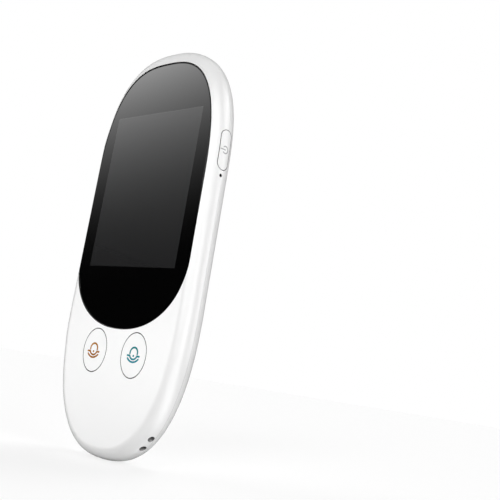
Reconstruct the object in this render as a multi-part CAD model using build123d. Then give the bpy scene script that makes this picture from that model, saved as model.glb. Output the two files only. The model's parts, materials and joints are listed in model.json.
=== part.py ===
from build123d import *
import math
import os

# Handheld translator, standing upright: +X is the right of its front face, the front face looks
# towards -Y, +Z is up.  The origin lies under the middle of the body.  Millimetres.
# A "depth" is a distance behind the front face, and a "level" is a height above the bottom end.

# ---- body ----
body_width = 51.6
body_length = 126.0
body_thickness = 11.3
top_rise = 38.1              # length over which the upper end curves in
top_sharpness = 2.48         # superellipse exponent of the upper end
bottom_rise = 45.5
bottom_sharpness = 2.41
front_round_across = 3.5
front_round_deep = 4.9
back_round_across = 8.2
side_flat = 0.4              # straight height of the side between the two roundings
wall = 1.5
front_wall = 2.0
back_wall = 1.6
seam_depth = 5.1             # where the two shells meet
tongue_height = 0.8
tongue_width = 0.65
tongue_clearance = 0.08

# ---- cover glass and display ----
glass_side_margin = 2.55
glass_length = 83.65
glass_top_margin = 5.0
glass_top_rise = 39.1
glass_top_sharpness = 2.77
glass_bottom_rise = 21.3
glass_bottom_sharpness = 2.17
glass_thickness = 1.0
glass_bevel = 0.22
glass_gap = 0.12
adhesive_thickness = 0.15
ledge_width = 1.8
active_width = 36.72         # 2.4 inch panel, 4:3
active_height = 48.96
active_top_margin = 21.3
panel_border = 1.0
panel_foot = 3.4             # border under the picture, where the ribbon leaves
panel_thickness = 1.2
panel_clearance = 0.15
backlight_rim = 0.3
backlight_thickness = 1.1
ribbon_thickness = 0.15
display_ribbon_width = 14.0
ribbon_drop = 2.0            # how far the ribbon loops below the panel
ribbon_tail = 8.0            # its length behind the panel
display_connector_height = 1.0

# ---- talk buttons ----
talk_half_width = 4.95
talk_half_height = 6.38
talk_gap = 0.15
talk_spacing = 16.72
talk_below_glass = 7.15      # lower edge of the glass to the middle of the buttons
talk_travel = 0.35
talk_flange = 0.9            # how far the flange reaches past the oval cap
flange_thickness = 0.6
flange_gap = 0.05
switch_size = 4.5
switch_height = 1.45
switch_corner = 0.3
plunger_radius = 0.7
talk_plunger_radius = 1.0
plunger_gap = 0.1            # clearance round a plunger in its switch
plunger_engagement = 0.4     # how far a talk plunger sits inside its switch
icon_thickness = 0.12
icon_stroke = 0.54
icon_shift_left = (-0.44, -0.3)  # from the middle of its button, across and up
icon_shift_right = (0.0, 0.0)
capsule_half_width = 1.5
capsule_straight = 0.3
capsule_level = 0.72
cradle_half_width = 1.45
cradle_sag = 1.0
cradle_level = -0.17
tick_length = 0.95
base_half_width = 2.17
base_sag = 0.96
base_level = -0.97
dot_radius = 0.32

# ---- side keys ----
key_depth = 4.5
key_width = 4.0
key_gap = 0.2
key_reach = 3.6              # from the side of the body to the key's inner face
key_travel = 0.35
power_length = 12.0
power_top_margin = 34.0      # top of the body to the middle of the power key
ear_length = 0.7
ear_width = 1.6
ear_thickness = 0.7
ear_gap = 0.8                # to the inside of the side wall
rocker_length = 24.4
rocker_top_margin = 41.1
rocker_arm = 8.0             # pivot to each volume plunger
rocker_tilt = 1.6            # degrees either way
side_plunger_gap = 0.05      # between the rocker and a plunger
side_plunger_seat = 0.8      # length of a side plunger inside its switch at rest
side_switch_length = 2.3
side_switch_width = 4.5
side_switch_height = 2.5
pivot_inset = 1.0            # pivot behind the rocker's inner face
pin_radius = 0.5
pin_clearance = 0.1
lug_radius = 0.95
lug_width = 1.0
bracket_gap = 0.12
bracket_wall = 0.4
bracket_height = 2.6
bracket_swing = 0.35         # clearance for the lug's end
mark_stroke = 0.36
mark_length = 1.6
mark_offset = 7.2            # pivot to each volume mark
power_mark_radius = 1.05
power_mark_opening = 50.0    # degrees either side of its top, which lies towards the front
power_mark_bar = 1.6

# ---- microphone ----
pinhole_radius = 0.45
pinhole_depth = 4.3
pinhole_below_key = 1.8
boot_height = 1.6
boot_reach = 2.6             # from the side of the body to the boot's outer end
boot_inner = 6.3             # from the side of the body to its inner end
channel_radius = 0.4
microphone_height = 1.1
microphone_width = 2.0

# ---- boards and what they carry ----
main_board_depth = 6.0
lower_board_depth = 4.6
board_thickness = 0.8
board_clearance = 0.6        # to the inside of the shells
board_key_gap = 0.35
main_board_top_margin = 27.5
board_below_ribbon = 6.74    # fold of the display's ribbon to the main board's lower end
board_step = 4.0             # between the two boards
lower_board_width = 40.0
lower_board_bottom = 5.5
shield_height = 1.5
chip_height = 0.9
link_width = 8.0             # ribbon between the two boards
link_overlap = 4.0
screw_head_radius = 1.25
screw_head_height = 0.6
screw_radius = 0.6
screw_hole_clearance = 0.12
screw_thread = 1.8           # length in the boss
pilot_clearance = 0.02
boss_radius = 1.6
main_screw_upper = (5.7, 5.5)    # in from the board's side and end
main_screw_lower = (4.7, 4.0)
lower_screw_upper = (2.8, 4.0)
lower_screw_lower = (9.5, 8.0)
processor_size = (16.0, 18.0)
processor_place = (-8.0, 23.5)   # X, and below the main board's top
radio_size = (11.0, 13.0)
radio_place = (11.0, 19.5)
memory_size = (10.0, 8.0)
memory_place = (11.0, 33.5)
power_chip_size = (5.0, 5.0)
power_chip_place = (-12.0, 39.5)

# ---- battery ----
battery_boss_gap = 0.8       # between its tray and the lower screw bosses of the main board
battery_below_camera = 4.3
battery_bottom = 23.5
battery_swell_gap = 0.5
pad_thickness = 0.2
pad_length = 30.0
tray_gap = 0.3
tray_wall = 0.8
tray_height = 2.3            # from the back wall's inner face
tab_length = 6.0
tab_width = 5.0
tab_thickness = 0.2
battery_connector_height = 1.4

# ---- speaker and grille ----
speaker_below_top = 20.9
speaker_radius = 12.0
speaker_height = 3.0
speaker_gap = 0.2
speaker_wall = 1.0
speaker_seat_step = 0.7      # height of the seat inside the back wall
seat_width = 1.0
well_height = 2.6            # from the back wall's inner face
gasket_thickness = 0.35
mesh_thickness = 0.1
magnet_radius = 5.0
magnet_height = 1.9
cone_thickness = 0.3
frame_wall = 0.8
grille_rings = 8
holes_per_ring = 6
outer_ring_holes = 60
grille_hole_radius = 0.36
outer_hole_radius = 0.3

# ---- camera ----
camera_below_speaker = 20.0
camera_hole_radius = 4.65
camera_recess = 1.1
camera_chamfer = 0.45
window_lip = 0.45            # how far the window reaches past its hole
window_thickness = 0.6
window_gap = 0.08
mask_thickness = 0.1
mask_hole_radius = 2.6
camera_holder_size = 8.6
camera_holder_height = 1.0
barrel_radius = 3.0
lens_radius = 1.9
lens_height = 0.2
lens_gap = 0.1               # to the window

# ---- socket, antenna, lanyard ----
usb_width = 8.94
usb_height = 3.16
usb_length = 7.3
usb_shell = 0.3
usb_gap = 0.25
usb_recess = 2.2
tongue_plate_width = 6.7
tongue_plate_height = 0.7
tongue_plate_length = 5.0
antenna_width = 14.0
antenna_height = 5.0
antenna_thickness = 0.2
antenna_level = 19.0
lanyard_angle = 55.0         # position on the rim, in the end's own angle
lanyard_spacing = 3.85
lanyard_hole_radius = 0.95
lanyard_depth = 3.8
lanyard_drill = 4.0
post_radius = 0.7
post_inset = 4.2
post_clearance = 0.2

# ---- what follows from the sizes above ----
half_width = body_width / 2
body_ends = ((top_rise, top_sharpness), (bottom_rise, bottom_sharpness))
glass_ends = ((glass_top_rise, glass_top_sharpness), (glass_bottom_rise, glass_bottom_sharpness))
back_round_deep = body_thickness - front_round_deep - side_flat
back_inside = body_thickness - back_wall
glass_width = body_width - 2 * glass_side_margin
glass_top = body_length - glass_top_margin
glass_bottom = glass_top - glass_length
ledge_depth = glass_thickness + adhesive_thickness
active_level = body_length - active_top_margin - active_height / 2
panel_top = active_level + active_height / 2 + panel_border
panel_bottom = active_level - active_height / 2 - panel_foot
backlight_depth = ledge_depth + panel_thickness
flange_depth = front_wall + flange_gap
talk_back = flange_depth + flange_thickness
talk_level = glass_bottom - talk_below_glass
talk_switch_depth = lower_board_depth - switch_height
main_board_back = main_board_depth + board_thickness
lower_board_back = lower_board_depth + board_thickness
key_root = half_width - key_reach
rocker_swing = rocker_length / 2 * math.sin(math.radians(rocker_tilt))
board_edge = key_root - max(key_travel, rocker_swing) - board_key_gap
power_level = body_length - power_top_margin
rocker_level = body_length - rocker_top_margin
pivot_x = pivot_inset - key_root
speaker_level = body_length - speaker_below_top
speaker_seat_depth = back_inside - speaker_seat_step
speaker_front = speaker_seat_depth - mesh_thickness - gasket_thickness
grille_pitch = speaker_radius / grille_rings
camera_level = speaker_level - camera_below_speaker
window_depth = body_thickness - camera_recess
window_radius = camera_hole_radius + window_lip
lens_depth = window_depth - window_thickness - lens_gap - lens_height
holder_back = main_board_back + camera_holder_height
tray_outside = board_edge - main_screw_lower[0] - boss_radius - battery_boss_gap
battery_width = 2 * (tray_outside - tray_wall - tray_gap)
battery_depth = main_board_back + pad_thickness
battery_top = camera_level - camera_holder_size / 2 - battery_below_camera
battery_back = back_inside - battery_swell_gap
main_board_top = body_length - main_board_top_margin
main_board_level = panel_bottom - ribbon_drop - board_below_ribbon
lower_board_top = main_board_level - board_step
outline_steps = 12
front_sections = 4
back_sections = 5
beyond = 3.0                 # how far a cutting tool passes the surface


def depth(distance):
    """Y of a depth behind the front face."""
    return distance - body_thickness / 2


def signed_power(value, exponent):
    return math.copysign(abs(value) ** exponent, value)


def outline(width, bottom, top, ends, inset, distance):
    """Closed outline moved inwards, at one depth: two straight sides and two superellipse ends."""
    def end(base, height, sharpness):
        angles = [math.pi * step / outline_steps for step in range(outline_steps + 1)]
        return [Vector((width / 2 - inset) * signed_power(round(math.cos(a), 9), 2 / sharpness),
                       depth(distance),
                       base + height * signed_power(round(math.sin(a), 9), 2 / sharpness))
                for a in angles]
    (top_height, top_power), (bottom_height, bottom_power) = ends
    upper = end(top - top_height, top_height - inset, top_power)
    lower = end(bottom + bottom_height, inset - bottom_height, bottom_power)
    up, down = Vector(0, 0, 1), Vector(0, 0, -1)
    return Wire([Edge.make_line(lower[0], upper[0]),
                 Edge.make_spline(upper, tangents=[up, down]),
                 Edge.make_line(upper[-1], lower[-1]),
                 Edge.make_spline(lower, tangents=[down, up])])


def body_outline(inset, distance):
    return outline(body_width, 0, body_length, body_ends, inset, distance)


def pebble(inset, front, back):
    """The body's shape moved inwards: by inset at the sides, front and back at the faces."""
    sections = []
    for step in range(front_sections + 1):
        turn = math.pi / 2 * step / front_sections
        across = (front_round_across - inset) * (1 - math.sin(turn))
        deep = (front_round_deep - front) * (1 - math.cos(turn))
        sections.append(body_outline(inset + across, front + deep))
    for step in range(back_sections + 1):
        turn = math.pi / 2 * step / back_sections
        across = (back_round_across - inset) * (1 - math.cos(turn))
        deep = (back_round_deep - back) * math.sin(turn)
        start = body_thickness - back_round_deep
        sections.append(body_outline(inset + across, start + deep))
    return Solid.make_loft(sections)


def prism(wire, thickness):
    return Solid.extrude(Face(wire), Vector(0, thickness, 0))


def body_plate(inset, near, far):
    return prism(body_outline(inset, near), far - near)


def glass_outline(inset, distance):
    return outline(glass_width, glass_bottom, glass_top, glass_ends, inset, distance)


def glass_plate(inset, near, far):
    return prism(glass_outline(inset, near), far - near)


def facing(sketch, near, far, x=0.0, level=0.0):
    """A sketch drawn as seen from the front, made solid between two depths."""
    return Pos(x, depth(near), level) * Rot(90, 0, 0) * extrude(sketch, near - far)


def plate(width, height, near, far, x=0.0, level=0.0, corner=0.0):
    sketch = RectangleRounded(width, height, corner) if corner else Rectangle(width, height)
    return facing(sketch, near, far, x, level)


def disc(radius, near, far, x=0.0, level=0.0):
    return facing(Circle(radius), near, far, x, level)


def oval(margin, near, far, x, level):
    """The talk buttons' oval, widened by a margin."""
    sketch = Ellipse(talk_half_width + margin, talk_half_height + margin)
    return facing(sketch, near, far, x, level)


def ring(outer, inner, near, far, x=0.0, level=0.0):
    return facing(Circle(outer) - Circle(inner), near, far, x, level)


def sideways(sketch, start, end, distance, level):
    """A sketch drawn as seen from a side (its x upwards), made solid from one X to another."""
    side = math.copysign(1, end - start)
    face = Plane(origin=(start, depth(distance), level), x_dir=(0, 0, 1), z_dir=(side, 0, 0))
    return extrude(face * sketch, abs(end - start))


def block(x_start, x_end, near, far, low, high):
    middle = Pos((x_start + x_end) / 2, depth((near + far) / 2), (low + high) / 2)
    return middle * Box(abs(x_end - x_start), far - near, high - low)


def corner_places(edge, top, bottom, upper, lower):
    """Four places inside a board, from their distances in from its sides and ends."""
    return [(side * (edge - across), level) for side in (-1, 1)
            for across, level in ((upper[0], top - upper[1]), (lower[0], bottom + lower[1]))]


body = pebble(0, 0, 0)
cavity = pebble(wall, front_wall, back_wall)
core = pebble(wall / 2, front_wall / 2, back_wall / 2)
room = pebble(wall + board_clearance, front_wall + board_clearance, back_wall + board_clearance)
skin = pebble(icon_thickness, icon_thickness, icon_thickness)
rear_half = block(-body_width, body_width, seam_depth, body_thickness + beyond,
                  -beyond, body_length + beyond)
screws = corner_places(board_edge, main_board_top, main_board_level,
                       main_screw_upper, main_screw_lower)
lower_screws = corner_places(lower_board_width / 2, lower_board_top, lower_board_bottom,
                             lower_screw_upper, lower_screw_lower)
talk_places = [-talk_spacing / 2, talk_spacing / 2]


# ---- shells ----

def key_slot(side, length, level):
    sketch = SlotOverall(length + 2 * key_gap, key_width + 2 * key_gap)
    return sideways(sketch, side * (key_root - key_gap), side * (half_width + beyond),
                    key_depth, level)


def key_slots():
    return [key_slot(1, power_length, power_level), key_slot(-1, rocker_length, rocker_level)]


def rim_point(angle):
    """A point of the lower right rim and the outward direction there, both as (x, z)."""
    turn = math.radians(angle)
    across = math.cos(turn) ** (2 / bottom_sharpness)
    down = math.sin(turn) ** (2 / bottom_sharpness)
    slope = (across ** (bottom_sharpness - 1) / half_width,
             -down ** (bottom_sharpness - 1) / bottom_rise)
    length = math.hypot(*slope)
    return ((half_width * across, bottom_rise * (1 - down)),
            (slope[0] / length, slope[1] / length))


def lanyard_holes():
    (x, level), (out_x, out_z) = rim_point(lanyard_angle)
    holes = []
    for side in (-1, 1):
        shift = side * lanyard_spacing / 2
        start = Vector(x - out_z * shift - out_x * lanyard_drill, depth(lanyard_depth),
                       level + out_x * shift - out_z * lanyard_drill)
        axis = Plane(origin=start, z_dir=(out_x, 0, out_z))
        holes.append(extrude(axis * Circle(lanyard_hole_radius), lanyard_drill + beyond))
    return holes


def pinhole():
    level = power_level - power_length / 2 - pinhole_below_key
    return sideways(Circle(pinhole_radius), half_width - boot_reach, half_width + beyond,
                    pinhole_depth, level)


def front_shell():
    tongue = body_plate(wall - tongue_width, seam_depth, seam_depth + tongue_height)
    shell = (body - rear_half) + tongue - cavity
    pocket = glass_plate(-glass_gap, -beyond, ledge_depth)
    window = glass_plate(ledge_width, 0, front_wall + beyond)
    panel_pocket = panel_plate(ledge_depth, front_wall + beyond, panel_clearance)
    talk_holes = [oval(talk_gap, -beyond, front_wall + flange_gap, x, talk_level)
                  for x in talk_places]
    openings = [pocket, window, panel_pocket, pinhole()]
    return shell - openings - talk_holes - key_slots() - lanyard_holes()


def speaker_well():
    outer_radius = speaker_radius + speaker_gap + speaker_wall
    bore = speaker_radius + speaker_gap
    wall_ring = ring(outer_radius, bore, back_inside - well_height, body_thickness,
                     0, speaker_level)
    seat = ring(bore, speaker_radius - seat_width, speaker_seat_depth, body_thickness,
                0, speaker_level)
    return wall_ring + seat


def battery_tray():
    inner = battery_width / 2 + tray_gap
    return [block(side * inner, side * (inner + tray_wall), back_inside - tray_height,
                  body_thickness, battery_bottom, battery_top) for side in (-1, 1)]


def bosses():
    main = [disc(boss_radius, main_board_back, body_thickness, x, level) for x, level in screws]
    lower = [disc(boss_radius, lower_board_back, body_thickness, x, level)
             for x, level in lower_screws]
    return main + lower


def pilot_holes():
    radius = screw_radius + pilot_clearance
    reach = screw_thread + pilot_clearance
    main = [disc(radius, main_board_back, main_board_back + reach, x, level)
            for x, level in screws]
    lower = [disc(radius, lower_board_back, lower_board_back + reach, x, level)
             for x, level in lower_screws]
    return main + lower


def grille_holes():
    """One hole in the middle and rings of holes round it."""
    holes = [disc(grille_hole_radius, speaker_seat_depth, body_thickness + beyond,
                  0, speaker_level)]
    for number in range(1, grille_rings + 1):
        last = number == grille_rings
        count = outer_ring_holes if last else holes_per_ring * number
        radius = outer_hole_radius if last else grille_hole_radius
        for step in range(count):
            angle = 2 * math.pi * step / count
            holes.append(disc(radius, speaker_seat_depth, body_thickness + beyond,
                              number * grille_pitch * math.cos(angle),
                              speaker_level + number * grille_pitch * math.sin(angle)))
    return Compound(holes)


def camera_opening():
    rim = Plane(origin=(0, depth(body_thickness - camera_chamfer), camera_level),
                z_dir=(0, 1, 0))
    return [disc(camera_hole_radius, window_depth - back_wall, body_thickness + beyond,
                 0, camera_level),
            Solid.make_cone(camera_hole_radius, camera_hole_radius + beyond, beyond, rim),
            disc(window_radius + window_gap, window_depth - back_wall, window_depth,
                 0, camera_level)]


def usb_slot():
    sketch = SlotOverall(usb_width + 2 * usb_gap, usb_height + 2 * usb_gap)
    middle = lower_board_back + usb_height / 2
    return Pos(0, depth(middle), -beyond) * extrude(sketch, beyond + usb_recess + usb_length)


def back_shell():
    groove = body_plate(wall - tongue_width - tongue_clearance, seam_depth,
                        seam_depth + tongue_height + tongue_clearance)
    shell = (body & rear_half) - groove - cavity
    inside = Compound(bosses() + battery_tray() + [speaker_well()])
    shell = shell + (inside & core)
    shell = shell - pilot_holes() - key_slots() - camera_opening() - [usb_slot()]
    return shell - grille_holes()


# ---- glass and display ----

def cover_glass():
    """Glass plate with a bevelled front edge."""
    bevel = Solid.make_loft([glass_outline(glass_bevel, 0), glass_outline(0, glass_bevel)], True)
    return bevel + glass_plate(0, glass_bevel, glass_thickness)


def glass_adhesive():
    return (glass_plate(glass_gap, glass_thickness, ledge_depth)
            - glass_plate(ledge_width, glass_thickness, ledge_depth))


def panel_plate(near, far, rim=0.0):
    return plate(active_width + 2 * panel_border + 2 * rim, panel_top - panel_bottom + 2 * rim,
                 near, far, 0, (panel_top + panel_bottom) / 2)


def optical_bond():
    return plate(active_width, active_height, glass_thickness, ledge_depth, 0, active_level)


def display_panel():
    return panel_plate(ledge_depth, ledge_depth + panel_thickness)


def display_backlight():
    return panel_plate(backlight_depth, backlight_depth + backlight_thickness, backlight_rim)


def display_ribbon():
    """A flat ribbon that leaves the panel's foot and folds back behind the backlight."""
    near = ledge_depth + panel_thickness / 2
    far = main_board_depth - display_connector_height
    low = panel_bottom - ribbon_drop
    across = (-display_ribbon_width / 2, display_ribbon_width / 2)
    leaving = block(*across, near, near + ribbon_thickness, low, panel_bottom)
    fold = block(*across, near, far, low - ribbon_thickness, low)
    tail = block(*across, far - ribbon_thickness, far, low, low + ribbon_tail)
    return leaving + fold + tail


def display_connector():
    tail_top = panel_bottom - ribbon_drop + ribbon_tail
    return block(-display_ribbon_width / 2, display_ribbon_width / 2,
                 main_board_depth - display_connector_height, main_board_depth,
                 tail_top - 3 * display_connector_height, tail_top)


# ---- talk buttons ----

def microphone_sketch():
    """Microphone sign: capsule, dot, cradle with two ticks, and a base line."""
    left, right = -capsule_half_width, capsule_half_width
    foot = capsule_level - capsule_straight
    capsule = SlotArc(Wire([Edge.make_line((right, foot), (right, capsule_level)),
                            ThreePointArc((right, capsule_level),
                                          (0, capsule_level + capsule_half_width),
                                          (left, capsule_level)).edge(),
                            Edge.make_line((left, capsule_level), (left, foot))]), icon_stroke)
    cradle = SlotArc(ThreePointArc((-cradle_half_width, cradle_level),
                                   (0, cradle_level - cradle_sag),
                                   (cradle_half_width, cradle_level)).edge(), icon_stroke)
    base = SlotArc(ThreePointArc((-base_half_width, base_level),
                                 (0, base_level - base_sag),
                                 (base_half_width, base_level)).edge(), icon_stroke)
    tick_middle = cradle_half_width + tick_length / 2
    ticks = [Pos(side * tick_middle, cradle_level) * SlotCenterToCenter(tick_length, icon_stroke)
             for side in (-1, 1)]
    return capsule + cradle + base + ticks + Pos(0, cradle_level) * Circle(dot_radius)


def talk_icon(x, shift):
    return facing(microphone_sketch(), 0, icon_thickness, x + shift[0], talk_level + shift[1])


def talk_button(x, shift):
    cap = oval(0, 0, talk_back, x, talk_level)
    flange = oval(talk_flange, flange_depth, talk_back, x, talk_level)
    return cap + flange - talk_icon(x, shift)


def talk_plunger(x):
    return disc(talk_plunger_radius, talk_back, talk_switch_depth + plunger_engagement,
                x, talk_level)


def talk_switch(x):
    case = plate(switch_size, switch_size, talk_switch_depth, lower_board_depth, x, talk_level,
                 switch_corner)
    well_end = talk_switch_depth + plunger_engagement + talk_travel + plunger_gap
    return case - disc(talk_plunger_radius + plunger_gap, talk_switch_depth, well_end,
                       x, talk_level)


# ---- side keys ----

def key_cap(side, length, level):
    sketch = SlotOverall(length, key_width)
    whole = sideways(sketch, side * key_root, side * (half_width + beyond), key_depth, level)
    return whole & body


def mark_layer(sketch, side, level):
    """A mark set into the outer skin of a side key."""
    layer = sideways(sketch, side * (key_root + ear_thickness), side * (half_width + beyond),
                     key_depth, level)
    return (layer & body) - skin


def power_icon():
    opening = power_mark_opening
    arc = CenterArc((0, 0), power_mark_radius, opening, 360 - 2 * opening).edge()
    bar = Pos(power_mark_bar / 2, 0) * SlotCenterToCenter(power_mark_bar, mark_stroke)
    sign = SlotArc(arc, mark_stroke) + bar
    return mark_layer(Rot(0, 0, 90) * sign, 1, power_level)


def power_key():
    cap = key_cap(1, power_length, power_level)
    half = power_length / 2 + ear_length
    outer = half_width - wall - ear_gap
    ears = block(outer - ear_thickness, outer, key_depth - ear_width / 2,
                 key_depth + ear_width / 2, power_level - half, power_level + half)
    return cap + ears - power_icon()


def side_switch(side, level):
    """Switch at the edge of the main board, with a round hole for its plunger."""
    near = main_board_depth - side_switch_height
    case = block(side * (board_edge - side_switch_length), side * board_edge, near,
                 main_board_depth, level - side_switch_width / 2, level + side_switch_width / 2)
    hole_end = board_edge - side_plunger_seat - key_travel - plunger_gap
    hole = sideways(Circle(plunger_radius + plunger_gap), side * hole_end, side * board_edge,
                    key_depth, level)
    return case - hole


def side_plunger(side, level, tip_gap):
    return sideways(Circle(plunger_radius), side * (board_edge - side_plunger_seat),
                    side * (key_root - tip_gap), key_depth, level)


def plus_mark():
    bar = SlotOverall(mark_length, mark_stroke)
    return mark_layer(bar + Rot(0, 0, 90) * bar, -1, rocker_level + mark_offset)


def minus_mark():
    bar = Rot(0, 0, 90) * SlotOverall(mark_length, mark_stroke)
    return mark_layer(bar, -1, rocker_level - mark_offset)


def volume_rocker():
    cap = key_cap(-1, rocker_length, rocker_level)
    near, far = key_depth - lug_width / 2, key_depth + lug_width / 2
    neck = block(-key_root, pivot_x, near, far, rocker_level - lug_radius,
                 rocker_level + lug_radius)
    lug = neck + disc(lug_radius, near, far, pivot_x, rocker_level)
    bore = disc(pin_radius + pin_clearance, near, far, pivot_x, rocker_level)
    return cap + lug - bore - plus_mark() - minus_mark()


def rocker_bracket():
    """Two arms and a web on the main board that hold the rocker's pin."""
    near = key_depth - lug_width / 2 - bracket_gap - bracket_wall
    web = pivot_x + lug_radius + bracket_swing
    low, high = rocker_level - bracket_height / 2, rocker_level + bracket_height / 2
    whole = block(pivot_x - pin_radius - pin_clearance, web + bracket_wall, near,
                  main_board_depth, low, high)
    space = block(pivot_x - beyond, web, near + bracket_wall,
                  key_depth + lug_width / 2 + bracket_gap, low, high)
    return whole - space - disc(pin_radius, near, main_board_depth, pivot_x, rocker_level)


def rocker_pin():
    near = key_depth - lug_width / 2 - bracket_gap - bracket_wall
    return disc(pin_radius, near, main_board_depth, pivot_x, rocker_level)


# ---- microphone ----

def microphone_box(near, far, outer, height):
    level = power_level - power_length / 2 - pinhole_below_key
    return block(half_width - boot_inner, outer, near, far, level - height / 2,
                 level + height / 2)


def side_microphone():
    return microphone_box(main_board_depth - microphone_height, main_board_depth,
                          half_width - boot_inner + microphone_width, boot_height)


def microphone_boot():
    """Rubber boot with an angled channel from the pinhole to the microphone."""
    level = power_level - power_length / 2 - pinhole_below_key
    far = main_board_depth - microphone_height
    body_block = microphone_box(pinhole_depth - boot_height / 2, far,
                                half_width - boot_reach, boot_height)
    port = half_width - boot_inner + microphone_width / 2
    along = sideways(Circle(channel_radius), port, half_width, pinhole_depth, level)
    down = disc(channel_radius, pinhole_depth, far, port, level)
    return body_block - along - down


# ---- boards ----

def screw_holes(places, near):
    radius = screw_radius + screw_hole_clearance
    return [disc(radius, near, near + board_thickness, x, level) for x, level in places]


def main_board():
    board = block(-board_edge, board_edge, main_board_depth, main_board_back,
                  main_board_level, main_board_top) & room
    notch = disc(speaker_radius + board_clearance, main_board_depth, main_board_back,
                 0, speaker_level)
    return board - notch - screw_holes(screws, main_board_depth)


def lower_board():
    board = block(-lower_board_width / 2, lower_board_width / 2, lower_board_depth,
                  lower_board_back, lower_board_bottom, lower_board_top) & room
    return board - screw_holes(lower_screws, lower_board_depth)


def board_screws():
    def screw(x, level, board_depth):
        head = disc(screw_head_radius, board_depth - screw_head_height, board_depth, x, level)
        end = board_depth + board_thickness + screw_thread
        return head + disc(screw_radius, board_depth, end, x, level)
    return Compound([screw(x, level, main_board_depth) for x, level in screws]
                    + [screw(x, level, lower_board_depth) for x, level in lower_screws])


def on_board(size, thickness, place):
    """Component on the front of the main board."""
    return plate(*size, main_board_depth - thickness, main_board_depth,
                 place[0], main_board_top - place[1])


def link_ribbon():
    low = lower_board_top - link_overlap
    return block(-link_width / 2, link_width / 2, lower_board_back,
                 lower_board_back + ribbon_thickness, low, main_board_level + link_overlap)


def link_connector():
    return block(-link_width / 2, link_width / 2, lower_board_back + ribbon_thickness,
                 main_board_depth, main_board_level, main_board_level + link_overlap)


# ---- battery ----

def battery():
    return plate(battery_width, battery_top - battery_bottom, battery_depth, battery_back,
                 0, (battery_top + battery_bottom) / 2, 2 * tray_wall)


def battery_pad():
    return block(-battery_width / 2 + tray_wall, battery_width / 2 - tray_wall,
                 main_board_back, battery_depth, battery_top - pad_length,
                 battery_top - tray_wall)


def battery_tab():
    middle = battery_width / 2 - tab_width
    near = battery_depth + tab_thickness
    return block(middle - tab_width / 2, middle + tab_width / 2, near, near + tab_thickness,
                 battery_top, battery_top + tab_length)


def battery_connector():
    middle = battery_width / 2 - tab_width
    case = block(middle - tab_width / 2 - tray_wall, middle + tab_width / 2 + tray_wall,
                 main_board_back, main_board_back + battery_connector_height,
                 battery_top + tab_length / 2, battery_top + tab_length)
    return case - battery_tab()


# ---- speaker ----

def speaker_frame():
    back = speaker_front - speaker_height
    cup = disc(speaker_radius, back, speaker_front, 0, speaker_level)
    hollow = disc(speaker_radius - frame_wall, back + frame_wall, speaker_front,
                  0, speaker_level)
    seat = disc(magnet_radius, back, back + frame_wall, 0, speaker_level)
    return cup - hollow - seat


def speaker_magnet():
    back = speaker_front - speaker_height
    return disc(magnet_radius, back, back + magnet_height, 0, speaker_level)


def speaker_cone():
    """Shallow cone with a flat rim on the frame's inner wall."""
    rim = speaker_radius - frame_wall
    far = speaker_front - cone_thickness
    profile = Polyline((0, 0), (magnet_radius, 0), (rim - frame_wall, cone_thickness),
                       (rim, cone_thickness), (rim, 2 * cone_thickness),
                       (rim - frame_wall, 2 * cone_thickness),
                       (magnet_radius, cone_thickness), (0, cone_thickness), close=True)
    turned = revolve(make_face(profile), Axis.Y)
    return Pos(0, depth(far - 2 * cone_thickness), speaker_level) * turned


def speaker_gasket():
    return ring(speaker_radius, speaker_radius - seat_width, speaker_front,
                speaker_front + gasket_thickness, 0, speaker_level)


def speaker_mesh():
    return disc(speaker_radius, speaker_seat_depth - mesh_thickness, speaker_seat_depth,
                0, speaker_level)


# ---- camera ----

def camera_holder():
    return plate(camera_holder_size, camera_holder_size, main_board_back, holder_back,
                 0, camera_level)


def camera_barrel():
    return disc(barrel_radius, holder_back, lens_depth, 0, camera_level)


def camera_lens():
    return disc(lens_radius, lens_depth, lens_depth + lens_height, 0, camera_level)


def camera_window():
    return disc(window_radius, window_depth - window_thickness, window_depth, 0, camera_level)


def camera_mask():
    far = window_depth - window_thickness
    return ring(window_radius, mask_hole_radius, far - mask_thickness, far, 0, camera_level)


# ---- socket, antenna, lanyard post ----

def usb_shell_tube():
    middle = lower_board_back + usb_height / 2
    outer = SlotOverall(usb_width, usb_height)
    inner = SlotOverall(usb_width - 2 * usb_shell, usb_height - 2 * usb_shell)
    tube = extrude(outer, usb_length) - Pos(0, 0, -usb_shell) * extrude(inner, usb_length)
    return Pos(0, depth(middle), usb_recess) * tube


def usb_tongue():
    middle = lower_board_back + usb_height / 2
    top = usb_recess + usb_length - usb_shell
    return block(-tongue_plate_width / 2, tongue_plate_width / 2,
                 middle - tongue_plate_height / 2, middle + tongue_plate_height / 2,
                 top - tongue_plate_length, top)


def antenna():
    return plate(antenna_width, antenna_height, back_inside - antenna_thickness, back_inside,
                 0, antenna_level) & cavity


def lanyard_post():
    (x, level), (out_x, out_z) = rim_point(lanyard_angle)
    return disc(post_radius, front_wall, lower_board_depth - post_clearance,
                x - out_x * post_inset, level - out_z * post_inset)


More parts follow.
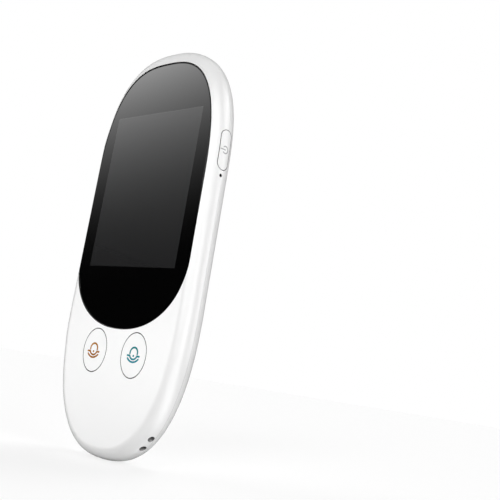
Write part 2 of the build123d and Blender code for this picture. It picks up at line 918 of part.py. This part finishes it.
left, right = talk_places
volume_up = rocker_level + rocker_arm
volume_down = rocker_level - rocker_arm
pieces = {
    "front_shell": front_shell(),
    "back_shell": back_shell(),
    "cover_glass": cover_glass(),
    "glass_adhesive": glass_adhesive(),
    "optical_bond": optical_bond(),
    "display_panel": display_panel(),
    "display_backlight": display_backlight(),
    "display_ribbon": display_ribbon(),
    "display_connector": display_connector(),
    "talk_button_left": talk_button(left, icon_shift_left),
    "talk_button_right": talk_button(right, icon_shift_right),
    "talk_icon_left": talk_icon(left, icon_shift_left),
    "talk_icon_right": talk_icon(right, icon_shift_right),
    "talk_plunger_left": talk_plunger(left),
    "talk_plunger_right": talk_plunger(right),
    "talk_switch_left": talk_switch(left),
    "talk_switch_right": talk_switch(right),
    "power_key": power_key(),
    "power_icon": power_icon(),
    "power_plunger": side_plunger(1, power_level, 0),
    "power_switch": side_switch(1, power_level),
    "volume_rocker": volume_rocker(),
    "volume_plus_mark": plus_mark(),
    "volume_minus_mark": minus_mark(),
    "rocker_bracket": rocker_bracket(),
    "rocker_pin": rocker_pin(),
    "volume_up_plunger": side_plunger(-1, volume_up, side_plunger_gap),
    "volume_down_plunger": side_plunger(-1, volume_down, side_plunger_gap),
    "volume_up_switch": side_switch(-1, volume_up),
    "volume_down_switch": side_switch(-1, volume_down),
    "side_microphone": side_microphone(),
    "microphone_boot": microphone_boot(),
    "main_board": main_board(),
    "lower_board": lower_board(),
    "board_screws": board_screws(),
    "processor_shield": on_board(processor_size, shield_height, processor_place),
    "radio_shield": on_board(radio_size, shield_height, radio_place),
    "memory_chip": on_board(memory_size, chip_height, memory_place),
    "power_chip": on_board(power_chip_size, chip_height, power_chip_place),
    "link_ribbon": link_ribbon(),
    "link_connector": link_connector(),
    "battery": battery(),
    "battery_pad": battery_pad(),
    "battery_tab": battery_tab(),
    "battery_connector": battery_connector(),
    "speaker_frame": speaker_frame(),
    "speaker_magnet": speaker_magnet(),
    "speaker_cone": speaker_cone(),
    "speaker_gasket": speaker_gasket(),
    "speaker_mesh": speaker_mesh(),
    "camera_holder": camera_holder(),
    "camera_barrel": camera_barrel(),
    "camera_lens": camera_lens(),
    "camera_window": camera_window(),
    "camera_mask": camera_mask(),
    "usb_shell": usb_shell_tube(),
    "usb_tongue": usb_tongue(),
    "antenna": antenna(),
    "lanyard_post": lanyard_post(),
}

os.makedirs("parts", exist_ok=True)
for name, piece in pieces.items():
    export_step(piece, f"parts/{name}.step")
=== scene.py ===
import bpy
import json
import math
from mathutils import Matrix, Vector


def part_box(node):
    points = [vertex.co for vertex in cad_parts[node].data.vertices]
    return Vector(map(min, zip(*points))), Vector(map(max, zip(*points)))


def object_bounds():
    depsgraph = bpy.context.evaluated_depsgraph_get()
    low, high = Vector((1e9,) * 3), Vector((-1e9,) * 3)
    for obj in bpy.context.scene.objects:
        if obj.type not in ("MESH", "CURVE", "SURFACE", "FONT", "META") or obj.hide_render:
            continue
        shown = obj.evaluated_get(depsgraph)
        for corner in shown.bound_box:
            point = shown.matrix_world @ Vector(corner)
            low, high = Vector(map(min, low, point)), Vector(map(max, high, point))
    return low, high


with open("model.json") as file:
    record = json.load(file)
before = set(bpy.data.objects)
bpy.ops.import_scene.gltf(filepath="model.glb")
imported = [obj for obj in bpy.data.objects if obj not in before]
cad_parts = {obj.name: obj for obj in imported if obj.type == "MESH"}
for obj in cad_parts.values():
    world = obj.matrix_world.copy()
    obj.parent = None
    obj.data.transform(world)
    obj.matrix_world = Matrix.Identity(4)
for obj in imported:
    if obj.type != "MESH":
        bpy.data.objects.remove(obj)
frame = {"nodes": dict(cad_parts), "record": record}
nodes = frame["nodes"]
cad_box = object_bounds()
MM = 0.001
WHITE = (1.0, 1.0, 1.0, 1.0)

# ---- camera ----
CAMERA_PLACE = (0.15623, -0.14528, 0.0276)
CAMERA_TURN = (100.779, -8.895, 37.059)     # degrees about X, Y and Z
CAMERA_LENS = 50.454
CAMERA_SENSOR = 36.0
CAMERA_NEAR = 0.01

# ---- light: azimuth from the front towards the right, elevation and spread in degrees,
# ---- and strength
SUNS = (
    (-169, 67, 30, 1.05),
    (21, 82, 30, 0.10),
    (26, 22, 30, 1.31),
    (79, 25, 30, 0.57),
    (91, 11, 30, 0.30),
    (-80, 24, 70, 1.30),
    (176, 9, 70, 1.32),
    (-60, 45, 50, 0.20),
)
SOFTBOXES = (                   # seen only in reflections
    (-48, 1, 8, 4.2), (-35, 2, 7, 4.7), (-18, -11, 11, 3.5), (-5, 26, 11, 2.4),
    (8, 22, 11, 2.0), (23, 35, 7, 1.9), (25, 9, 11, 2.8), (40, 20, 17, 0.2),
    (48, 27, 17, 6.5), (59, -17, 7, 3.1), (59, -17, 11, 1.5), (76, -31, 7, 3.1),
    (82, 0, 11, 6.0), (89, -36, 11, 1.8), (92, -19, 7, 3.1), (101, -40, 11, 2.9),
    (109, -33, 7, 2.9), (120, 30, 11, 4.8), (127, -5, 7, 3.6), (130, 10, 7, 4.5),
    (134, -42, 11, 1.8), (136, 45, 7, 3.7), (163, -73, 7, 3.5),
)
GLOW_TOWARD = (-79, 54)         # the one soft light that mirror-smooth surfaces see instead
GLOW_EDGE = 0.5512              # cosine of the angle at which it ends
GLOW_POWER = 4.6                # how fast it fades towards there
GLOW_STRENGTH = 75.0
GLOW_LIMIT = 4.5                # its brightest
GLOW_FRONT = (-0.3, -0.5)       # the parts of Y at which it is gone and full
FLOOR_HALF = 4.0
FLOOR_SHADE = 0.8               # its colour as the object sees it
FLOOR_SEEN = 1.03               # its colour as the camera sees it
FLOOR_GLOW = 0.69               # the part of its white that no shadow takes away

# ---- the object's places, millimetres ----
THICKNESS = (cad_box[1][1] - cad_box[0][1]) / MM
SEAM_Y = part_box("back_shell")[0].y / MM
SEAM_HALF = 0.05
SIDE_FROM = 20.0                # the sides begin at this distance from the middle
FRONT_WALL_DEPTH = 2.4          # the front shell's pocket and oval holes lie above this depth
TALK_BOXES = [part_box("talk_button_" + side) for side in ("left", "right")]
TALK_RING = (5.025, 6.455, 0.11)    # half width, half height and half stroke of the painted shade line round each button
KEY_DEPTHS = (2.2, 7.0)
KEY_MARGIN = 1.0
KEY_LEVELS = (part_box("volume_rocker")[0].z / MM - KEY_MARGIN,
              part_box("power_key")[1].z / MM + KEY_MARGIN)
SPEAKER_LEVEL = sum(corner.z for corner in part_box("speaker_mesh")) / 2 / MM
GRILLE_RADIUS = 12.6
GRILLE_FROM_Y = 3.5
PINHOLE = (-1.35, 84.2, 0.5)    # Y, Z and radius
STRAP_HOLES = ((17.527, 8.402), (15.011, 5.478))    # X and Z on the rim
STRAP_HOLE_Y = -1.85
STRAP_HOLE_RADIUS = 1.0
STRAP_OUT = (0.758, -0.652)     # the way out of the holes, in X and Z
STRAP_REACH = (-4.5, 1.0)       # how far they go along it
STRAP_SHADE = (1.0, 0.8, -1.6, 0.1)     # how dark their painted shade is inside and outside, and where
STRAP_LOWER_WALL_PAINTED_SHADE = 0.65        # how dark the painted shade on the holes' lower walls is beside the others
STRAP_FLOOR_TILT = 0.6          # the part of Z in a lower wall's normal
WALL_TILT = 0.3                 # most of Y in the normal of a front gap's or grille hole's wall
KEY_WALL_TILT = 0.5             # most of X in the normal of a wall round a side key
GLASS_HALF_WIDTH = 23.25
GLASS_ENDS = ((81.9, 39.1, 2.77, 1), (58.65, 21.3, 2.17, -1))   # level, rise, sharpness, side
GLASS_LINE_INNER = -0.35        # the inner side of the black line of painted shade, from the glass's edge
GLASS_LINE_OUTER = (0.42, 0.16)     # its outer side, at the left and the right
GLASS_DULL_LEVELS = (70.0, 90.0)    # between them a dull edge on the glass widens upwards
DISPLAY_LINE = 0.25             # height of the lighter line at the display's head

# ---- colours and gloss ----
MASK_COLOUR = (0.0014, 0.0014, 0.0015)
# the unlit display's grey at its foot; at its head it is lighter, a painted reflection
DISPLAY_FOOT = (0.019, 0.0192, 0.0197)
DISPLAY_HEAD = (0.046, 0.0463, 0.047)
DISPLAY_LINE_GAIN = 1.2
GLASS_IOR = 1.52
GLASS_ROUGHNESS = (0.0, 0.003)  # mirror-smooth, so that it sees the glow
SMEAR_SCALE = 80.0              # slow variation of a small glass's gloss
COVER_SMEAR_SCALE = 25.0
# painted shade: the near-black colour of gap and hole walls and of the dark lines
PAINTED_SHADE_COLOUR = (0.006, 0.006, 0.006)
GAP_ROUGHNESS = 0.9
SEAM_COLOUR = (0.62, 0.62, 0.62)
WHITE_VARIATION = 0.012         # of the white mouldings' colour
WHITE_GLOSS_VARIATION = 0.02
PRINT_SPECULAR = 0.1
PRINT_ROUGHNESS = (0.38, 0.46)
PRINT_SCALE = 400.0
CAMERA_DARK = (0.003, 0.004, 0.005)
# painted reflection: the camera window's grey sheen, and where it runs
CAMERA_PAINTED_SHEEN = (0.11, 0.12, 0.13)
CAMERA_PAINTED_SHEEN_SPREAD = (-0.5, 1.3)
# painted reflection: the colour of the teal glint in the lens
CAMERA_PAINTED_GLINT_TEAL = (0.05, 0.24, 0.23)
CAMERA_RINGS = ((0.0, 0.42, (0.008, 0.016, 0.02)), (0.42, 0.47, (0.05, 0.07, 0.075)),
                (0.66, 0.70, (0.02, 0.025, 0.03)))      # share of the radius, and colour
CAMERA_PAINTED_GLINT = (-0.05, -0.16, 0.17)     # place and radius of the painted glint, as shares of the radius
CAMERA_ROUGHNESS = (0.03, 0.05)
CLOUD_SCALE = 60.0              # slow variation of colour and gloss over a moulding
GRAIN_SCALE = 900.0             # a moulding's or metal's fine grain
STREAK_LENGTH = 15.0            # of a metal's streaks, in widths
WEAVE_SCALE = 2600.0
GLOSS_VARIATION = 0.03
METAL_GLOSS_VARIATION = 0.05
GLASS_GLOSS_VARIATION = 0.02


class Nodes:
    """Short forms for building one node tree."""

    def __init__(self, tree):
        self.tree = tree
        tree.nodes.clear()

    def add(self, kind, inputs=None, **values):
        node = self.tree.nodes.new("ShaderNode" + kind)
        for name, value in values.items():
            setattr(node, name, value)
        for name, value in (inputs or {}).items():
            if isinstance(value, bpy.types.NodeSocket):
                self.tree.links.new(value, node.inputs[name])
            else:
                node.inputs[name].default_value = value
        return node

    def place(self):
        return self.add("TexCoord").outputs["Object"]

    def math(self, operation, *values):
        return self.add("Math", dict(enumerate(values)), operation=operation).outputs[0]

    def mix(self, factor, a, b):
        node = self.add("Mix", {"Factor": factor}, data_type="RGBA")
        for socket, value in ((node.inputs[6], a), (node.inputs[7], b)):
            if isinstance(value, bpy.types.NodeSocket):
                self.tree.links.new(value, socket)
            else:
                socket.default_value = (*value[:3], 1.0)
        return node.outputs[2]

    def noise(self, scale, detail=3.0):
        return self.add("TexNoise", {"Vector": self.place(), "Scale": scale,
                                     "Detail": detail}).outputs["Fac"]

    def bump(self, height, strength, distance):
        return self.add("Bump", {"Strength": strength, "Distance": distance,
                                 "Height": height}).outputs[0]

    def spread(self, value, low, high, start=0.0, end=1.0):
        """A value from start to end, stretched from low to high and held there beyond."""
        return self.add("MapRange", {"Value": value, "From Min": start, "From Max": end,
                                     "To Min": low, "To Max": high}).outputs[0]

    def around(self, value, middle, half):
        """A value from 0 to 1, stretched as far below a number as above it."""
        return self.spread(value, middle - half, middle + half)

    def axes(self, vector, scale=1.0):
        """The three parts of a vector, scaled."""
        split = self.add("SeparateXYZ", {"Vector": vector})
        if scale == 1.0:
            return list(split.outputs)
        return [self.math("MULTIPLY", part, scale) for part in split.outputs]

    def between(self, value, low, high):
        """1 where a value lies between two others."""
        return self.both(self.math("GREATER_THAN", value, low),
                         self.math("LESS_THAN", value, high))

    def both(self, *masks):
        mask = masks[0]
        for other in masks[1:]:
            mask = self.math("MULTIPLY", mask, other)
        return mask

    def either(self, *masks):
        mask = masks[0]
        for other in masks[1:]:
            mask = self.math("MAXIMUM", mask, other)
        return mask

    def squares(self, a, b):
        """The squares of two numbers, added up."""
        return self.math("MULTIPLY_ADD", a, a, self.math("MULTIPLY", b, b))

    def near(self, a, b, middle_a, middle_b, radius):
        """1 within a radius of a line, from two coordinates across it."""
        across = self.math("SUBTRACT", a, middle_a)
        along = self.math("SUBTRACT", b, middle_b)
        return self.math("LESS_THAN", self.squares(across, along), radius * radius)

    def aligned(self, a, b):
        """The cosine between two directions."""
        return self.add("VectorMath", {0: a, 1: b}, operation="DOT_PRODUCT").outputs["Value"]

    def upright(self, part, limit):
        """1 where the surface's normal has little of one direction."""
        return self.math("LESS_THAN", self.math("ABSOLUTE", part), limit)


def material(name):
    made = bpy.data.materials.new(name)
    made.use_nodes = True
    return made, Nodes(made.node_tree)


def finish_material(n, **inputs):
    shader = n.add("BsdfPrincipled", {key.replace("_", " "): v for key, v in inputs.items()})
    n.add("OutputMaterial", {"Surface": shader.outputs[0]})


def darker(colour, share):
    return [c * share for c in colour]


def moulded(name, colour, roughness, variation=0.02):
    """Moulded plastic or rubber: a fine grain, with colour and gloss that vary a little."""
    made, n = material(name)
    cloud = n.noise(CLOUD_SCALE)
    tint = n.mix(cloud, [max(c - variation, 0.0) for c in colour], colour)
    gloss = n.around(cloud, roughness, GLOSS_VARIATION)
    bump = n.bump(n.noise(GRAIN_SCALE, 2.0), strength=0.35, distance=0.02 * MM)
    finish_material(n, Base_Color=tint, Roughness=gloss, Normal=bump)
    return made


def metal(name, colour, roughness):
    """Brushed or stamped metal, with fine streaks."""
    made, n = material(name)
    stretch = (GRAIN_SCALE, GRAIN_SCALE, GRAIN_SCALE / STREAK_LENGTH)
    streaks = n.add("Mapping", {"Vector": n.place(), "Scale": stretch}).outputs[0]
    fine = n.add("TexNoise", {"Vector": streaks, "Scale": 1.0, "Detail": 2.0}).outputs["Fac"]
    bump = n.bump(fine, strength=0.2, distance=0.01 * MM)
    finish_material(n, Base_Color=n.mix(fine, darker(colour, 0.9), colour), Metallic=1.0,
                    Roughness=n.around(fine, roughness, METAL_GLOSS_VARIATION), Normal=bump)
    return made


def woven(name, colour):
    """Black acoustic mesh: a fine square weave."""
    made, n = material(name)
    threads = []
    for axis in "XZ":
        wave = n.add("TexWave", {"Vector": n.place(), "Scale": WEAVE_SCALE},
                     bands_direction=axis)
        threads.append(wave.outputs["Fac"])
    weave = n.math("MULTIPLY", *threads)
    bump = n.bump(weave, strength=0.6, distance=0.03 * MM)
    finish_material(n, Base_Color=n.mix(weave, darker(colour, 0.3), colour), Roughness=0.8,
                    Normal=bump)
    return made


def past_glass_edge(n, x, z):
    """How far a point lies outside the cover glass's outline, in millimetres."""
    outs = []
    for level, rise, sharpness, side in GLASS_ENDS:
        along = n.math("MAXIMUM", n.math("MULTIPLY", n.math("SUBTRACT", z, level), side), 0.0)
        across = n.math("ABSOLUTE", n.math("DIVIDE", x, GLASS_HALF_WIDTH))
        share = n.math("ADD", n.math("POWER", across, sharpness),
                       n.math("POWER", n.math("DIVIDE", along, rise), sharpness))
        grown = n.math("SUBTRACT", n.math("POWER", share, 1 / sharpness), 1.0)
        reach = n.math("MAXIMUM", n.math("SQRT", n.squares(x, along)), GLASS_HALF_WIDTH / 2)
        outs.append(n.math("MULTIPLY", grown, reach))
    return n.either(*outs)


def painted_gap_shade(n):
    """Painted shade on the walls of the narrow gaps round the glass, the talk buttons and the
    side keys, and painted shade lines along the first two."""
    x, y, z = n.axes(n.place(), 1 / MM)
    normal = n.axes(n.add("TexCoord").outputs["Normal"])
    depth = n.math("ADD", y, THICKNESS / 2)
    front = n.both(n.math("LESS_THAN", depth, FRONT_WALL_DEPTH), n.upright(normal[1], WALL_TILT))
    beside = n.math("GREATER_THAN", n.math("ABSOLUTE", x), SIDE_FROM)
    keys = n.both(beside, n.between(depth, *KEY_DEPTHS), n.between(z, *KEY_LEVELS),
                  n.upright(normal[0], KEY_WALL_TILT))
    half_width, half_height, half_stroke = TALK_RING
    band = half_stroke / half_width
    rings = []
    for low, high in TALK_BOXES:
        middle = (low + high) / 2 / MM
        across = n.math("DIVIDE", n.math("SUBTRACT", x, middle.x), half_width)
        along = n.math("DIVIDE", n.math("SUBTRACT", z, middle.z), half_height)
        out = n.math("SQRT", n.squares(across, along))
        rings.append(n.between(out, 1.0 - band, 1.0 + band))
    # painted shade lines: an oval round each talk button and a black line along the glass's edge
    outer = n.spread(x, *GLASS_LINE_OUTER, -SIDE_FROM, SIDE_FROM)
    rings.append(n.between(past_glass_edge(n, x, z), GLASS_LINE_INNER, outer))
    lines = n.both(n.either(*rings), n.math("LESS_THAN", depth, FRONT_WALL_DEPTH))
    return n.either(front, keys, lines), (x, y, z), normal


def painted_hole_shade(n, place, normal):
    """Painted shade on the walls of the grille holes, the pinhole and the two strap holes."""
    x, y, z = place
    grille = n.both(n.near(x, z, 0.0, SPEAKER_LEVEL, GRILLE_RADIUS),
                    n.math("GREATER_THAN", y, GRILLE_FROM_Y), n.upright(normal[1], WALL_TILT))
    pinhole = n.both(n.near(y, z, *PINHOLE), n.math("GREATER_THAN", x, SIDE_FROM))
    # painted light: the strap holes' lower walls, which face up, get less of the painted shade
    painted_lower_wall_light = n.spread(normal[2], 1.0, STRAP_LOWER_WALL_PAINTED_SHADE, 0.0, STRAP_FLOOR_TILT)
    straps = []
    for level_x, level_z in STRAP_HOLES:
        right = n.math("SUBTRACT", x, level_x)
        up = n.math("SUBTRACT", z, level_z)
        across = n.math("SUBTRACT", n.math("MULTIPLY", right, STRAP_OUT[1]),
                        n.math("MULTIPLY", up, STRAP_OUT[0]))
        out = n.math("ADD", n.math("MULTIPLY", right, STRAP_OUT[0]),
                     n.math("MULTIPLY", up, STRAP_OUT[1]))
        hole = n.near(y, across, STRAP_HOLE_Y, 0.0, STRAP_HOLE_RADIUS)
        straps.append(n.both(hole, n.spread(out, *STRAP_SHADE), painted_lower_wall_light,
                             n.between(out, *STRAP_REACH)))
    return n.either(grille, pinhole, *straps)


def white_plastic(name, colour, roughness, shell):
    """Smooth white moulding, with painted shade on its gap and hole walls."""
    made, n = material(name)
    cloud = n.noise(CLOUD_SCALE)
    dark, place, normal = painted_gap_shade(n)
    tint = n.mix(cloud, [c - WHITE_VARIATION for c in colour], colour)
    if shell:
        dark = n.either(dark, painted_hole_shade(n, place, normal))
        seam = n.between(place[1], SEAM_Y - SEAM_HALF, SEAM_Y + SEAM_HALF)
        tint = n.mix(seam, tint, SEAM_COLOUR)
    bump = n.bump(n.noise(GRAIN_SCALE, 2.0), strength=0.25, distance=0.01 * MM)
    gloss = n.around(cloud, roughness, WHITE_GLOSS_VARIATION)
    # painted shade: gap and hole walls take the near-black colour and a duller gloss
    finish_material(n, Base_Color=n.mix(dark, tint, PAINTED_SHADE_COLOUR), Normal=bump,
                    Roughness=n.either(gloss, n.math("MULTIPLY", dark, GAP_ROUGHNESS)))
    return made


def cover_glass_material():
    """Glass printed black at the back, with the dark grey of the unlit display in its window,
    lightened towards its head by a painted reflection.
    """
    made, n = material("cover_glass")
    low, high = [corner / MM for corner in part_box("optical_bond")]
    x, y, z = n.axes(n.place(), 1 / MM)
    across = n.between(x, low.x, high.x)
    window = n.both(across, n.between(z, low.z, high.z))
    line = n.both(across, n.between(z, high.z - DISPLAY_LINE, high.z))
    # painted reflection: the display's grey grows lighter towards its head
    height = n.spread(z, 0.0, 1.0, low.z, high.z)
    shade = n.mix(height, DISPLAY_FOOT, DISPLAY_HEAD)
    display = n.mix(line, shade, [c * DISPLAY_LINE_GAIN for c in DISPLAY_HEAD])
    inner = n.spread(z, 0.0, GLASS_LINE_INNER, *GLASS_DULL_LEVELS)
    rim = n.both(n.math("GREATER_THAN", past_glass_edge(n, x, z), inner),
                 n.math("GREATER_THAN", z, GLASS_DULL_LEVELS[0]))
    smear = n.spread(n.noise(COVER_SMEAR_SCALE), *GLASS_ROUGHNESS)
    finish_material(n, Base_Color=n.mix(window, MASK_COLOUR, display), IOR=GLASS_IOR,
                    Roughness=n.either(smear, n.math("MULTIPLY", rim, GAP_ROUGHNESS)))
    return made


def icon_print(name, lower, upper):
    """Printed sign whose colour runs from its foot to its head."""
    made, n = material(name)
    low, high = [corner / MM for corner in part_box("talk_icon_left")]
    x, y, z = n.axes(n.place(), 1 / MM)
    height = n.spread(z, 0.0, 1.0, low.z, high.z)
    finish_material(n, Base_Color=n.mix(height, lower, upper), Specular_IOR_Level=PRINT_SPECULAR,
                    Roughness=n.spread(n.noise(PRINT_SCALE), *PRINT_ROUGHNESS))
    return made


def dark_glass(name, colour, roughness=0.03):
    made, n = material(name)
    smear = n.noise(SMEAR_SCALE)
    finish_material(n, Base_Color=n.mix(smear, darker(colour, 0.8), colour), IOR=GLASS_IOR,
                    Roughness=n.spread(smear, roughness, roughness + GLASS_GLOSS_VARIATION))
    return made


def camera_window_material():
    """Dark window over the camera: a painted grey sheen, the lens's rings and a painted teal glint.
    """
    made, n = material("camera_window")
    low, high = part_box("camera_window")
    radius = (high.x - low.x) / 2
    middle = (low + high) / 2
    offset = n.add("VectorMath", {0: n.place(), 1: middle}, operation="SUBTRACT").outputs[0]
    x, y, z = n.axes(offset, 1 / radius)
    out = n.math("SQRT", n.squares(x, z))
    # painted reflection: a grey sheen, lighter towards +X and +Z
    sheen = n.spread(n.math("ADD", x, z), 0.0, 1.0, *CAMERA_PAINTED_SHEEN_SPREAD)
    tint = n.mix(sheen, CAMERA_DARK, CAMERA_PAINTED_SHEEN)
    for start, end, colour in CAMERA_RINGS:
        tint = n.mix(n.between(out, start, end), tint, colour)
    # painted reflection: a teal glint near the lens's middle
    glow = n.both(n.near(x, z, *CAMERA_PAINTED_GLINT), n.math("LESS_THAN", out, CAMERA_RINGS[0][1]))
    finish_material(n, Base_Color=n.mix(glow, tint, CAMERA_PAINTED_GLINT_TEAL), IOR=GLASS_IOR,
                    Roughness=n.spread(n.noise(SMEAR_SCALE), *CAMERA_ROUGHNESS))
    return made


MATERIALS = {
    "shell": white_plastic("shell", (0.93, 0.93, 0.928), 0.22, shell=True),
    "button": white_plastic("button", (0.945, 0.945, 0.943), 0.26, shell=False),
    "cover_glass": cover_glass_material(),
    "display": dark_glass("display", (0.03, 0.03, 0.034), 0.2),
    "clear_bond": dark_glass("clear_bond", (0.05, 0.05, 0.055), 0.1),
    "orange_print": icon_print("orange_print", (0.35, 0.12, 0.0), (0.39, 0.15, 0.0)),
    "teal_print": icon_print("teal_print", (0.0, 0.24, 0.32), (0.0, 0.20, 0.21)),
    "grey_print": moulded("grey_print", (0.42, 0.42, 0.43), 0.5),
    "adhesive": moulded("adhesive", (0.01, 0.01, 0.01), 0.6, variation=0.002),
    "backlight": moulded("backlight", (0.8, 0.8, 0.8), 0.4),
    "ribbon": moulded("ribbon", (0.42, 0.16, 0.03), 0.4),
    "connector": moulded("connector", (0.015, 0.015, 0.016), 0.45, variation=0.004),
    "switch": moulded("switch", (0.03, 0.03, 0.032), 0.45, variation=0.005),
    "plunger": moulded("plunger", (0.65, 0.65, 0.64), 0.4),
    "board": moulded("board", (0.01, 0.09, 0.04), 0.4, variation=0.005),
    "steel": metal("steel", (0.62, 0.62, 0.63), 0.3),
    "shield_can": metal("shield_can", (0.68, 0.69, 0.70), 0.35),
    "battery_foil": metal("battery_foil", (0.55, 0.56, 0.57), 0.4),
    "speaker_cloth": woven("speaker_cloth", (0.02, 0.02, 0.021)),
    "lens": dark_glass("lens", (0.01, 0.02, 0.04)),
    "camera_window": camera_window_material(),
}


def dress_nodes():
    slot_of = {part["node"]: part["material_slot"] for part in frame["record"]["subparts"]}
    for name, node in nodes.items():
        node.data.materials.clear()
        node.data.materials.append(MATERIALS[slot_of[name]])


def toward(azimuth, elevation):
    """A direction, from its angles in degrees."""
    around, up = math.radians(azimuth), math.radians(elevation)
    return Vector((math.sin(around) * math.cos(up), -math.cos(around) * math.cos(up), math.sin(up)))


def sun(name, azimuth, elevation, spread, strength):
    data = bpy.data.lights.new(name, "SUN")
    data.angle = math.radians(spread)
    data.energy = strength
    lamp = bpy.data.objects.new(name, data)
    bpy.context.scene.collection.objects.link(lamp)
    lamp.rotation_euler = toward(azimuth, elevation).to_track_quat("Z", "Y").to_euler()
    lamp.visible_glossy = False


def glow_strength(n, direction):
    inside = n.spread(n.aligned(direction, toward(*GLOW_TOWARD)), 0.0, 1.0, GLOW_EDGE, 1.0)
    glow = n.math("MULTIPLY", n.math("POWER", inside, GLOW_POWER), GLOW_STRENGTH)
    fade = n.spread(n.axes(direction)[1], 0.0, 1.0, *GLOW_FRONT)
    return n.math("MULTIPLY", n.math("MINIMUM", glow, GLOW_LIMIT), fade)


def softbox_strength(n, direction):
    boxes = 0.0
    for azimuth, elevation, width, strength in SOFTBOXES:
        narrowness = math.radians(width) ** -2
        away = n.math("SUBTRACT", n.aligned(direction, toward(azimuth, elevation)), 1.0)
        box = n.math("EXPONENT", n.math("MULTIPLY", away, narrowness))
        boxes = n.math("MULTIPLY_ADD", box, strength, boxes)
    return boxes


def studio():
    """White to the camera, softboxes or the glow in reflections, and dark to everything else,
    which the suns light."""
    world = bpy.data.worlds.new("studio")
    bpy.context.scene.world = world
    world.use_nodes = True
    n = Nodes(world.node_tree)
    path = n.add("LightPath")
    direction = n.add("TexCoord").outputs["Generated"]
    strength = n.add("Mix", {"Factor": path.outputs["Is Singular Ray"],
                             2: softbox_strength(n, direction),
                             3: glow_strength(n, direction)}).outputs[0]
    surface, mirrored, seen = [
        n.add("Background", {"Color": WHITE, "Strength": value}).outputs[0]
        for value in (0.0, strength, 1.0)]
    for ray, shown in (("Is Glossy Ray", mirrored), ("Is Camera Ray", seen)):
        surface = n.add("MixShader", {0: path.outputs[ray], 1: surface, 2: shown}).outputs[0]
    n.add("OutputWorld", {"Surface": surface})
    for number, values in enumerate(SUNS):
        sun("sun_%d" % number, *values)


def floor():
    """A pale floor that keeps the object's shadow faint, and that reflections don't show."""
    mesh = bpy.data.meshes.new("floor")
    corners = [(x * FLOOR_HALF, y * FLOOR_HALF, 0.0)
               for x, y in ((-1, -1), (1, -1), (1, 1), (-1, 1))]
    mesh.from_pydata(corners, [], [(0, 1, 2, 3)])
    plane = bpy.data.objects.new("floor", mesh)
    bpy.context.scene.collection.objects.link(plane)
    plane.visible_glossy = False
    plane.visible_shadow = False
    made, n = material("floor")
    by_camera = n.add("LightPath").outputs["Is Camera Ray"]
    colour = n.mix(by_camera, (FLOOR_SHADE,) * 3, (FLOOR_SEEN,) * 3)
    lit = n.add("BsdfDiffuse", {"Color": colour})
    white = n.add("Emission", {"Color": WHITE, "Strength": 1.0})
    share = n.math("MULTIPLY", by_camera, FLOOR_GLOW)
    shader = n.add("MixShader", {0: share, 1: lit.outputs[0], 2: white.outputs[0]})
    n.add("OutputMaterial", {"Surface": shader.outputs[0]})
    mesh.materials.append(made)


def camera():
    data = bpy.data.cameras.new("camera")
    data.lens = CAMERA_LENS
    data.sensor_width = CAMERA_SENSOR
    data.clip_start = CAMERA_NEAR
    eye = bpy.data.objects.new("camera", data)
    bpy.context.scene.collection.objects.link(eye)
    eye.location = CAMERA_PLACE
    eye.rotation_euler = [math.radians(angle) for angle in CAMERA_TURN]
    bpy.context.scene.camera = eye


dress_nodes()
studio()
floor()
camera()
bpy.context.scene.view_settings.view_transform = "Standard"
